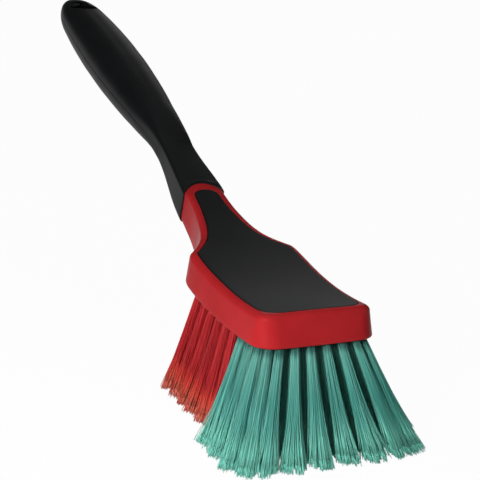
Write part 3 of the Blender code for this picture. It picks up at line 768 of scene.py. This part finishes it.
def fieldOutline(inset):    # pairs of place and half width, from front to rear
    front, rear = block["cornerRadius"], tufts["rear"] - tufts["rearRadius"]
    frontRadius, rearRadius = front - inset, tufts["rearRadius"] - inset
    frontWidth, rearWidth = sideHalfWidth(front) - inset, sideHalfWidth(block["shoulderAt"]) - inset
    angles = quarterTurn(tufts["cornerSteps"])
    spots = [(front - frontRadius * cos(a), frontWidth - frontRadius * (1 - sin(a))) for a in angles]
    for row in range(1, rowCount):
        y = rowPlace(row) - tufts["rowPitch"] / 2
        if front < y < rear:
            spots.append((y, sideHalfWidth(min(y, block["shoulderAt"])) - inset))
    return spots + [(rear + rearRadius * sin(a), rearWidth - rearRadius * (1 - cos(a))) for a in angles]


def fieldHalfWidth(y, inset):
    spots = fieldOutline(inset)
    for (y0, x0), (y1, x1) in zip(spots, spots[1:]):
        if y <= y1:
            return mix(x0, x1, max(y - y0, 0.0) / (y1 - y0))
    return spots[-1][1]


def rowTufts(row):    # places of a row's tufts, with one more at each front corner
    count, y = tufts["across"][row], rowPlace(row)
    half = min(fieldHalfWidth(y, tufts["inset"]), tufts["columnPitch"] * (count - 1) / 2)
    half *= tufts["narrowing"][tuftKind(row)]
    places = [(half * (2 * i + 1 - count) / (count - 1), y) for i in range(count)]
    if row == 0:
        x, cornerY = tufts["cornerTuft"]
        places = [(tuftX, y + tufts["frontSetBack"]) for tuftX, y in places]
        places += [(-x, cornerY), (x, cornerY)]
    return places


def makeTuftRecess():
    rings = []
    for y, x in fieldOutline(block["skirtWall"]):
        low, high = bottomLine(y) - tufts["cutBelow"], bottomLine(y) + tufts["lip"]
        rings.append([(0.0, y, high), (x, y, high), (x, y, low), (0.0, y, low)])
    ends = [[(0.0, y, z) for x, y, z in rings[i]] for i in (0, -1)]
    return wrapSkin("tuft_recess", [ends[0]] + rings + [ends[1]])


def makeTuftHoles():
    depth, below = tufts["holeDepth"], tufts["drillBelow"]
    drills = []
    for row in range(rowCount):
        for x, y in rowTufts(row):
            height = bottomLine(y) + tufts["lip"] + depth / 2 - below / 2
            selectOnly()
            bpy.ops.mesh.primitive_cylinder_add(
                vertices=tufts["holeSides"], radius=tufts["holeRadius"] * metresPerMillimetre,
                depth=(depth + below) * metresPerMillimetre, location=toFrame([(x, y, height)])[0])
            drills.append(bpy.context.object)
    selectOnly(*reversed(drills))
    bpy.ops.object.join()
    joined = bpy.context.object
    bpy.ops.object.transform_apply(location=True, rotation=True, scale=True)
    joined.name = "tuft_holes"
    return joined


def makeCore():
    points = outlinePoints()
    rings = [blockHalfRing(p, n) for p, n in zip(points, inwardNormals(points, block["chordReach"]))]
    tang, gap = handle["skin"] + handle["tangGap"], handle["ringGap"]
    rings.append(handleHalfRing(0.0, handle["proud"], gap))
    rings += [handleHalfRing(place, tang, gap if place == 0 else 0.0) for place in handlePlaces(tang)]
    core = wrapSkin("block_and_neck", rings, redPlasticMade)
    for makeCutter in (makePadPocket, makeTuftRecess, makeTuftHoles):
        cutAway(core, makeCutter())
    smoothPiece(core, block["smoothAngle"])
    return core


# Grip, with an oval recess in its upper side near the end of the handle

hangRecess = {
    "fromEnd": 24.0, "halfWidth": 9.4, "halfLength": 9.0, "floorHeight": -5.0, "rim": 0.9,
    "steps": 36, "arcSteps": 5, "overlap": 0.8,
}


def gripTopHeight(x, along):    # over the centreline, square to it
    z, slope = centreline(along)[1:]
    upper = handleHalfRing(along, 0.0)[:sectionSteps["across"] + sectionSteps["arc"]]
    return np.interp(x, [p[0] for p in upper], [(p[2] - z) / cos(slope) for p in upper])


def makeHangRecess():
    # rings that follow the grip's top surface at a depth, and open out in a rounded rim
    rim, over, steps = (hangRecess[name] for name in ("rim", "overlap", "steps"))
    width, length, floor = (hangRecess[name] for name in ("halfWidth", "halfLength", "floorHeight"))
    profile = [(rim + over, -over), (rim, 0.0)]
    profile += [(rim * (1 - sin(a)), rim * (1 - cos(a))) for a in quarterTurn(hangRecess["arcSteps"])[1:]]
    centre = handleLength() - hangRecess["fromEnd"]
    angles = [pi * i / steps for i in range(steps + 1)]

    def place(x, along, height):
        y, z, slope = centreline(along)
        return (x, y - height * sin(slope), z + height * cos(slope))

    rings = []
    for outward, depth in profile:
        spots = [(max((width + outward) * sin(a), 0.0), centre + (length + outward) * cos(a)) for a in angles]
        rings.append([place(x, along, gripTopHeight(x, along) - depth) for x, along in spots])
    rings.append([place(max(width * sin(a), 0.0), centre + length * cos(a), floor) for a in angles])
    top = place(0.0, centre, gripTopHeight(0.0, centre) + over)
    base = place(0.0, centre, floor)
    return wrapSkin("hang_recess", [[top] * len(angles)] + rings + [[base] * len(angles)])


def makeGrip():
    radius, skin = handle["lipRadius"], handle["skin"]
    rings = [handleHalfRing(place, skin) for place in reversed(handlePlaces(skin))]
    rings += [handleHalfRing(radius * (1 - cos(a)), radius * (1 - sin(a)))
              for a in quarterTurn(handle["lipSteps"])]
    rings += [handleHalfRing(place, 0.0) for place in handlePlaces(0.0)[1:]]
    grip = wrapSkin("soft_grip_sleeve", rings, blackSoftMade)
    cutAway(grip, makeHangRecess())
    smoothPiece(grip, handle["smoothAngle"])
    return grip


finishPiece(makeCore(), "core")
finishPiece(makeTopPad(), "top_pad")
finishPiece(makeGrip(), "soft_grip")


# Bristles: one filament is modelled, then copied along its own bent path for each place in a tuft

bristles = {
    "perTuft": 215, "radius": 0.23, "sides": 3, "seed": 41,
    "rings": (0.0, 0.16, 0.32, 0.48, 0.62, 0.74, 0.84, 0.94), "splitFrom": 0.93, "splits": 3,
    "splitFlare": 0.6, "splitBase": 0.7, "splitEnd": 0.4, "splitApart": 0.4,    # these four are in radii
    "rootReach": 1.9, "rootDepth": 2.5,
    "bendAt": (0.47, 0.47, 0.5),    # share of the way down, on each axis, of the point that a bend heads for
    "teal": {"leans": (28.0, 15.0), "splay": 0.865, "reach": (7.8, 6.4)},
    "red": {"leans": (6.0, -11.0), "splay": 0.41, "reach": (6.8, 5.8)},
    "sideDrift": 1.9, "leanTilt": 0.07,
    # share of the way down, and share of the flare from root to tip that a tuft has there
    "flareShares": ((0.0, 0.0), (0.08, 0.04), (0.3, 0.1), (0.55, 0.25), (0.75, 0.52), (0.9, 0.84),
                    (1.0, 1.0)),
    "stray": 0.8, "bow": 0.28, "wave": 0.2, "waveTurns": 2.2,
    "clumps": 8, "clumpPull": 0.4, "clumpTrim": 0.9, "trim": 0.5, "mostTrim": 4.5,
    "sideTrim": (-61.5, 56.5), "trimSlope": 1.5,    # filaments that would end further out are cut shorter
    "numbers": (0.02, 0.98),    # range of the random numbers in the UV map
}


def modelFilament():
    # upright, one unit tall and one unit in radius, with its tip split
    selectOnly()
    bpy.ops.mesh.primitive_circle_add(vertices=bristles["sides"], radius=1.0, fill_type="NGON",
                                      location=(0.0, 0.0, 0.0))
    shank = bpy.context.object
    bpy.ops.object.mode_set(mode="EDIT")
    bpy.ops.mesh.select_all(action="SELECT")
    levels = bristles["rings"]
    for low, high in zip(levels, levels[1:]):
        bpy.ops.mesh.extrude_region_move(TRANSFORM_OT_translate={"value": (0.0, 0.0, high - low)})
    bpy.ops.mesh.select_all(action="SELECT")
    bpy.ops.mesh.normals_make_consistent(inside=False)
    bpy.ops.object.mode_set(mode="OBJECT")
    ends = []
    base, height = bristles["splitFrom"], 1.0 - bristles["splitFrom"]
    for i in range(bristles["splits"]):
        angle = 2 * pi * i / bristles["splits"]
        outX, outY = cos(angle), sin(angle)
        selectOnly()
        bpy.ops.mesh.primitive_cone_add(
            vertices=bristles["sides"], radius1=bristles["splitBase"], radius2=bristles["splitEnd"],
            depth=height,
            location=(outX * bristles["splitApart"], outY * bristles["splitApart"], base + height / 2))
        ends.append(bpy.context.object)
        for v in ends[-1].data.vertices:
            if v.co.z > 0:
                v.co.x += outX * bristles["splitFlare"]
                v.co.y += outY * bristles["splitFlare"]
    selectOnly(shank, *ends)
    bpy.ops.object.join()
    bpy.ops.object.transform_apply(location=True, rotation=True, scale=True)
    count = len(shank.data.vertices)
    places = np.empty(count * 3)
    shank.data.vertices.foreach_get("co", places)
    faces = [tuple(face.vertices) for face in shank.data.polygons]
    bpy.data.objects.remove(shank, do_unlink=True)
    return places.reshape(count, 3), faces


def tuftLean(row):    # how far forward the row's tips lean: even steps between its kind's first and last row
    rows = [other for other in range(rowCount) if tuftKind(other) == tuftKind(row)]
    return mix(*bristles[tuftKind(row)]["leans"], (row - rows[0]) / (rows[-1] - rows[0]))


def tuftLayout(draw):
    # where each filament stands in its tuft, in tuft radii, where its clump pulls its tip to, and how much
    # shorter it is
    count, clumps = bristles["perTuft"], bristles["clumps"]
    turn = np.arange(count) * pi * (3 - sqrt(5)) + draw.uniform(0, 2 * pi)
    out = np.sqrt((np.arange(count) + 0.5) / count)
    disc = np.stack([out * np.cos(turn), out * np.sin(turn)], axis=1)
    centres = disc[draw.choice(count, clumps, replace=False)]
    nearest = np.argmin(np.linalg.norm(disc[:, None] - centres[None], axis=2), axis=1)
    pulled = disc + (centres[nearest] - disc) * bristles["clumpPull"]
    shorter = (np.abs(draw.normal(0.0, bristles["clumpTrim"], clumps))[nearest]
               + np.abs(draw.normal(0.0, bristles["trim"], count))).clip(0.0, bristles["mostTrim"])
    return disc, pulled, shorter


def tuftSpread(down, disc, pulled, tipReach, draw):
    # how far aside of the tuft's path each filament is, at its shares of the way down
    places, shares = zip(*bristles["flareShares"])
    flare = np.interp(down, places, shares)[..., None]
    late = (down ** 3)[..., None]
    reach = mix(bristles["rootReach"], np.array(tipReach), flare)
    each = (len(down), 1, 2)
    spread = (disc[:, None] * (1 - late) + pulled[:, None] * late) * reach
    spread += draw.normal(0.0, bristles["stray"], each) * late
    spread += draw.normal(0.0, bristles["bow"], each) * (down * (1 - down) * 4)[..., None]
    phase = draw.uniform(0, 2 * pi, each)
    spread += np.sin(down[..., None] * bristles["waveTurns"] * 2 * pi + phase) * bristles["wave"] * late
    return spread


def tuftFilaments(row, place, model, draw):
    # places of all points of one tuft's filaments, shaped (filaments, points, 3), and their UVs
    kind, count = bristles[tuftKind(row)], bristles["perTuft"]
    x, y = place
    disc, pulled, shorter = tuftLayout(draw)
    root = np.array([x, y, bottomLine(y) + tufts["lip"] + bristles["rootDepth"]])
    tip = np.array([x * (1 + kind["splay"]) + bristles["sideDrift"],
                    y - tuftLean(row) - x * bristles["leanTilt"], 0.0])
    middle = root + (tip - root) * np.array(bristles["bendAt"])
    tipX = tip[0] + pulled[:, 0] * kind["reach"][0]
    left, right = bristles["sideTrim"]
    over = np.maximum(np.maximum(tipX - right, left - tipX), 0.0)
    over /= np.abs(tipX - root[0]) * bristles["trimSlope"]
    down = model[:, 2][None, :] * (1 - shorter / root[2] - over)[:, None]
    path = (root * (1 - down[..., None]) ** 2 + middle * (2 * down * (1 - down))[..., None]
            + tip * (down ** 2)[..., None])
    path[..., :2] += tuftSpread(down, disc, pulled, kind["reach"], draw)
    spin = draw.uniform(0, 2 * pi, count)
    turnedX = np.cos(spin)[:, None] * model[:, 0] - np.sin(spin)[:, None] * model[:, 1]
    turnedY = np.sin(spin)[:, None] * model[:, 0] + np.cos(spin)[:, None] * model[:, 1]
    path[..., 0] += turnedX * bristles["radius"]
    path[..., 1] += turnedY * bristles["radius"]
    path[..., 2] = np.maximum(path[..., 2], 0.0)
    number = np.repeat(draw.uniform(*bristles["numbers"], count)[:, None], len(model), axis=1)
    return path, np.stack([number, np.repeat(model[:, 2][None, :], count, axis=0)], axis=2)


def makeTuftRow(row, model, faces, draw):
    kind = tuftKind(row)
    paths, marks = zip(*(tuftFilaments(row, place, model, draw) for place in rowTufts(row)))
    places = toFrame(np.concatenate(paths).reshape(-1, 3))
    marks = np.concatenate(marks).reshape(-1, 2)
    copies = len(places) // len(model)
    loops = np.concatenate([np.array(face) for face in faces])
    sizes = np.array([len(face) for face in faces])
    allLoops = (loops[None, :] + (np.arange(copies) * len(model))[:, None]).ravel()
    allSizes = np.tile(sizes, copies)
    mesh = bpy.data.meshes.new(f"bristle_row_{row + 1:02d}")
    mesh.vertices.add(len(places))
    mesh.vertices.foreach_set("co", places.astype(np.float32).ravel())
    mesh.loops.add(len(allLoops))
    mesh.loops.foreach_set("vertex_index", allLoops.astype(np.int32))
    mesh.polygons.add(len(allSizes))
    starts = np.concatenate([[0], np.cumsum(allSizes)[:-1]])
    mesh.polygons.foreach_set("loop_start", starts.astype(np.int32))
    mesh.update(calc_edges=True)
    mesh.validate()
    layer = mesh.uv_layers.new(name="filament")
    layer.data.foreach_set("uv", marks[allLoops].astype(np.float32).ravel())
    mesh.polygons.foreach_set("use_smooth", np.ones(len(mesh.polygons), dtype=bool))
    mesh.materials.append(filamentMade[kind])
    made = bpy.data.objects.new(mesh.name, mesh)
    bpy.context.scene.collection.objects.link(made)
    finishPiece(made, f"tuft_row_{row + 1:02d}")


filamentModel, filamentFaces = modelFilament()
filamentDraw = np.random.default_rng(bristles["seed"])
for row in range(rowCount):
    makeTuftRow(row, filamentModel, filamentFaces, filamentDraw)
print("bristles made")
